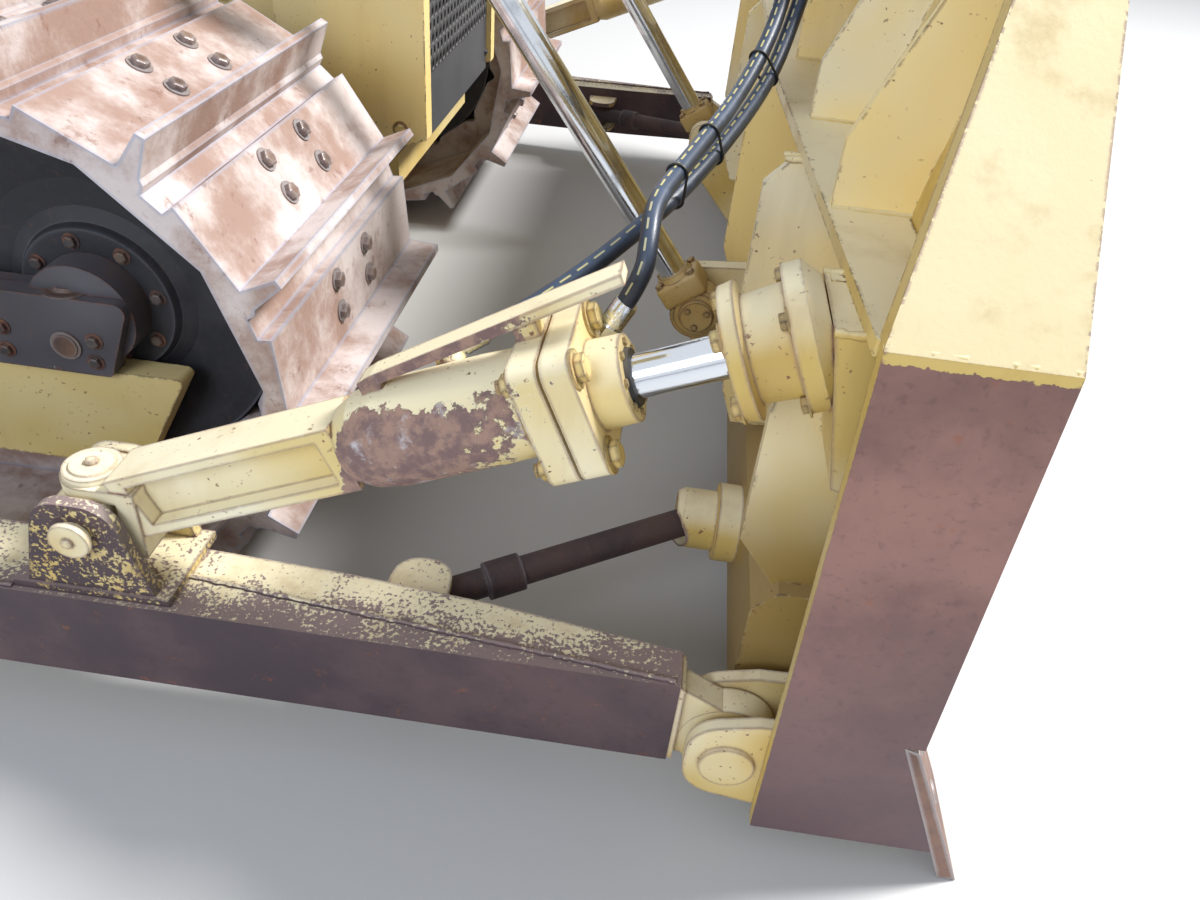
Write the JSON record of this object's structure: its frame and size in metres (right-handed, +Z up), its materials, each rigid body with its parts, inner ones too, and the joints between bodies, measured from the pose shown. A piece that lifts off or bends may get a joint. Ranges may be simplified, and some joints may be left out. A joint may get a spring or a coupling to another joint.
{
  "type": "bulldozer",
  "caption": "Crawler bulldozer with wide-gauge tracks, closed cab, outside push arms and a straight blade that lifts and tilts by hydraulic cylinders.",
  "frame": {"origin": "on the ground, at the middle of the machine's length and width", "axes": "+X forward to the blade, +Y left, +Z up"},
  "size_m": [5.45, 3.47, 3.12],
  "materials": {
    "track_right": "dry rust and scuffed steel",
    "track_left": "dry rust and scuffed steel",
    "idlers": "dirty dark steel",
    "idler_yokes": "dirty black paint",
    "sprockets": "worn steel",
    "final_drives": "worn satin paint",
    "rollers": "dirty dark steel",
    "track_frames": "worn satin paint",
    "trunnions": "worn satin paint",
    "lift_yokes": "worn satin paint",
    "main_frame": "worn satin paint",
    "radiator_guard": "worn satin paint",
    "grille": "dark grey steel",
    "radiator": "matte",
    "engine": "matte",
    "hood": "worn satin paint",
    "side_panels": "worn satin paint",
    "exhaust_stack": "heat-darkened",
    "precleaner": "matte",
    "cab_floor": "worn satin paint",
    "cab_shell": "worn satin paint",
    "cab_roof": "worn satin paint",
    "cab_glass": "clear",
    "seat": "woven cover",
    "console": "matte",
    "fenders": "black paint",
    "fender_tanks": "worn satin paint",
    "fuel_tank": "worn satin paint",
    "counterweight": "worn satin paint",
    "drawbar": "bare dark steel",
    "handrails": "satin black paint",
    "lamps": "gloss",
    "arm_rings": "greased bronze",
    "blade": "chipped paint and rust",
    "blade_back": "chipped paint and rust",
    "blade_ribs": "chipped paint and rust",
    "cutting_edge": "worn steel",
    "end_bits": "worn steel",
    "blade_lugs": "chipped paint and rust",
    "strut_blocks": "chipped paint and rust",
    "push_arm_right": "smooth rust and paint",
    "arm_tip_right": "chipped paint",
    "diagonal_brace_right": "rusty dark steel",
    "push_arm_left": "smooth rust and paint",
    "arm_tip_left": "chipped paint",
    "diagonal_brace_left": "rusty dark steel",
    "cross_block_right": "chipped paint",
    "cross_block_left": "chipped paint",
    "tilt_barrel": "chipped paint",
    "tilt_rod": "polished",
    "tilt_hoses": "dark hose rubber",
    "screw_brace": "chipped paint",
    "lift_barrel_right": "worn satin paint",
    "lift_barrel_left": "worn satin paint",
    "lift_rod_right": "polished",
    "lift_rod_left": "polished",
    "door_right": "worn satin paint",
    "door_glass_right": "clear",
    "door_left": "worn satin paint",
    "door_glass_left": "clear"
  },
  "bodies": {
    "chassis": {"track_right": "track_right", "track_left": "track_left", "idlers": "idlers", "idler_yokes": "idler_yokes", "sprockets": "sprockets", "final_drives": "final_drives", "rollers": "rollers", "track_frames": "track_frames", "trunnions": "trunnions", "lift_yokes": "lift_yokes", "main_frame": "main_frame", "radiator_guard": "radiator_guard", "grille": "grille", "radiator": "radiator", "engine": "engine", "hood": "hood", "side_panels": "side_panels", "exhaust_stack": "exhaust_stack", "precleaner": "precleaner", "cab_floor": "cab_floor", "cab_shell": "cab_shell", "cab_roof": "cab_roof", "cab_glass": "cab_glass", "seat": "seat", "console": "console", "fenders": "fenders", "fender_tanks": "fender_tanks", "fuel_tank": "fuel_tank", "counterweight": "counterweight", "drawbar": "drawbar", "handrails": "handrails", "lamps": "lamps"},
    "arm_bearings": {"arm_rings": "arm_rings"},
    "blade": {"blade": "blade", "blade_back": "blade_back", "blade_ribs": "blade_ribs", "cutting_edge": "cutting_edge", "end_bits": "end_bits", "blade_lugs": "blade_lugs", "strut_blocks": "strut_blocks"},
    "arm_right": {"push_arm_right": "push_arm_right", "arm_tip_right": "arm_tip_right"},
    "tie_right": {"diagonal_brace_right": "diagonal_brace_right"},
    "arm_left": {"push_arm_left": "push_arm_left", "arm_tip_left": "arm_tip_left"},
    "tie_left": {"diagonal_brace_left": "diagonal_brace_left"},
    "cross_right": {"cross_block_right": "cross_block_right"},
    "cross_left": {"cross_block_left": "cross_block_left"},
    "tilt_barrel": {"tilt_barrel": "tilt_barrel", "tilt_hoses": "tilt_hoses"},
    "tilt_rod": {"tilt_rod": "tilt_rod"},
    "screw_brace": {"screw_brace": "screw_brace"},
    "lift_barrel_right": {"lift_barrel_right": "lift_barrel_right"},
    "lift_barrel_left": {"lift_barrel_left": "lift_barrel_left"},
    "lift_rod_right": {"lift_rod_right": "lift_rod_right"},
    "lift_rod_left": {"lift_rod_left": "lift_rod_left"},
    "door_right": {"door_right": "door_right", "door_glass_right": "door_glass_right"},
    "door_left": {"door_left": "door_left", "door_glass_left": "door_glass_left"}
  },
  "joints": [
    {"name": "lift", "type": "hinge", "parent": "chassis", "child": "arm_bearings", "pos_m": [-0.65, 0, 0.29], "axis": [0, -1, 0], "range_deg": [-7.5, 18]},
    {"name": "tilt", "type": "hinge", "parent": "arm_bearings", "child": "blade", "pos_m": [2.295, 0, 0.19], "axis": [0.9123, -0.4096, 0], "range_deg": [-5.5, 5.5], "deforming": ["tilt_hoses"]},
    {"name": "arm_right_swing", "type": "hinge", "parent": "arm_bearings", "child": "arm_right", "pos_m": [-0.65, -1.603, 0.29], "axis": [0, -1, 0], "range_deg": [-2.9, 2.9]},
    {"name": "arm_left_swing", "type": "hinge", "parent": "arm_bearings", "child": "arm_left", "pos_m": [-0.65, 1.603, 0.29], "axis": [0, -1, 0], "range_deg": [-2.9, 2.9]},
    {"name": "cross_right_pitch", "type": "hinge", "parent": "arm_right", "child": "cross_right", "pos_m": [1.233, -1.58, 0.46], "axis": [0, -1, 0], "range_deg": [-1.31, 1.31]},
    {"name": "cross_left_pitch", "type": "hinge", "parent": "arm_left", "child": "cross_left", "pos_m": [1.233, 1.58, 0.46], "axis": [0, -1, 0], "range_deg": [-0.32, 0.32]},
    {"name": "tilt_barrel_yaw", "type": "hinge", "parent": "cross_right", "child": "tilt_barrel", "pos_m": [1.233, -1.58, 0.46], "axis": [0, 0, 1], "range_deg": [-3.7, 3.7]},
    {"name": "screw_brace_yaw", "type": "hinge", "parent": "cross_left", "child": "screw_brace", "pos_m": [1.233, 1.58, 0.46], "axis": [0, 0, 1], "range_deg": [-3.7, 3.7]},
    {"name": "tie_right_swing", "type": "hinge", "parent": "arm_right", "child": "tie_right", "pos_m": [1.73, -1.49, 0.236], "axis": [0.5003, -0.8469, -0.1802], "range_deg": [-3.32, 3.32]},
    {"name": "tie_left_swing", "type": "hinge", "parent": "arm_left", "child": "tie_left", "pos_m": [1.73, 1.49, 0.236], "axis": [0.4984, 0.8294, -0.2523], "range_deg": [-3.98, 3.98]},
    {"name": "tilt_stroke", "type": "slide", "parent": "tilt_barrel", "child": "tilt_rod", "axis": [0.9139, 0, 0.4059], "range_m": [-0.056, 0.056]},
    {"name": "lift_barrel_right_swing", "type": "hinge", "parent": "chassis", "child": "lift_barrel_right", "pos_m": [1.33, -0.66, 1.578], "axis": [0, -1, 0], "range_deg": [-12, 28]},
    {"name": "lift_barrel_left_swing", "type": "hinge", "parent": "chassis", "child": "lift_barrel_left", "pos_m": [1.33, 0.66, 1.578], "axis": [0, -1, 0], "range_deg": [-12, 28]},
    {"name": "lift_stroke_right", "type": "slide", "parent": "lift_barrel_right", "child": "lift_rod_right", "axis": [0.6065, 0, -0.7951], "range_m": [-0.735, 0.31]},
    {"name": "lift_stroke_left", "type": "slide", "parent": "lift_barrel_left", "child": "lift_rod_left", "axis": [0.6065, 0, -0.7951], "range_m": [-0.735, 0.31]},
    {"name": "door_right", "type": "hinge", "parent": "chassis", "child": "door_right", "pos_m": [-1.007, -0.772, 2], "axis": [0, 0, -1], "range_deg": [0, 80]},
    {"name": "door_left", "type": "hinge", "parent": "chassis", "child": "door_left", "pos_m": [-1.007, 0.772, 2], "axis": [0, 0, 1], "range_deg": [0, 80]}
  ],
  "couplings": [
    {"joint": "arm_right_swing", "follows": "tilt", "ratio": -0.50814},
    {"joint": "arm_left_swing", "follows": "tilt", "ratio": 0.50827},
    {"joint": "cross_right_pitch", "follows": "tilt", "ratio": 0.22405},
    {"joint": "cross_left_pitch", "follows": "tilt", "ratio": -0.04878},
    {"joint": "tilt_barrel_yaw", "follows": "tilt", "ratio": -0.64998},
    {"joint": "screw_brace_yaw", "follows": "tilt", "ratio": -0.65066},
    {"joint": "tilt_stroke", "follows": "tilt", "m_per_rad": -0.55326},
    {"joint": "tie_right_swing", "follows": "tilt", "ratio": 0.58347},
    {"joint": "tie_left_swing", "follows": "tilt", "ratio": 0.70104},
    {"joint": "lift_barrel_right_swing", "follows": "lift", "ratio": 1.5},
    {"joint": "lift_barrel_left_swing", "follows": "lift", "ratio": 1.5},
    {"joint": "lift_stroke_right", "follows": "lift", "m_per_rad": -2.3205},
    {"joint": "lift_stroke_left", "follows": "lift", "m_per_rad": -2.3205}
  ]
}
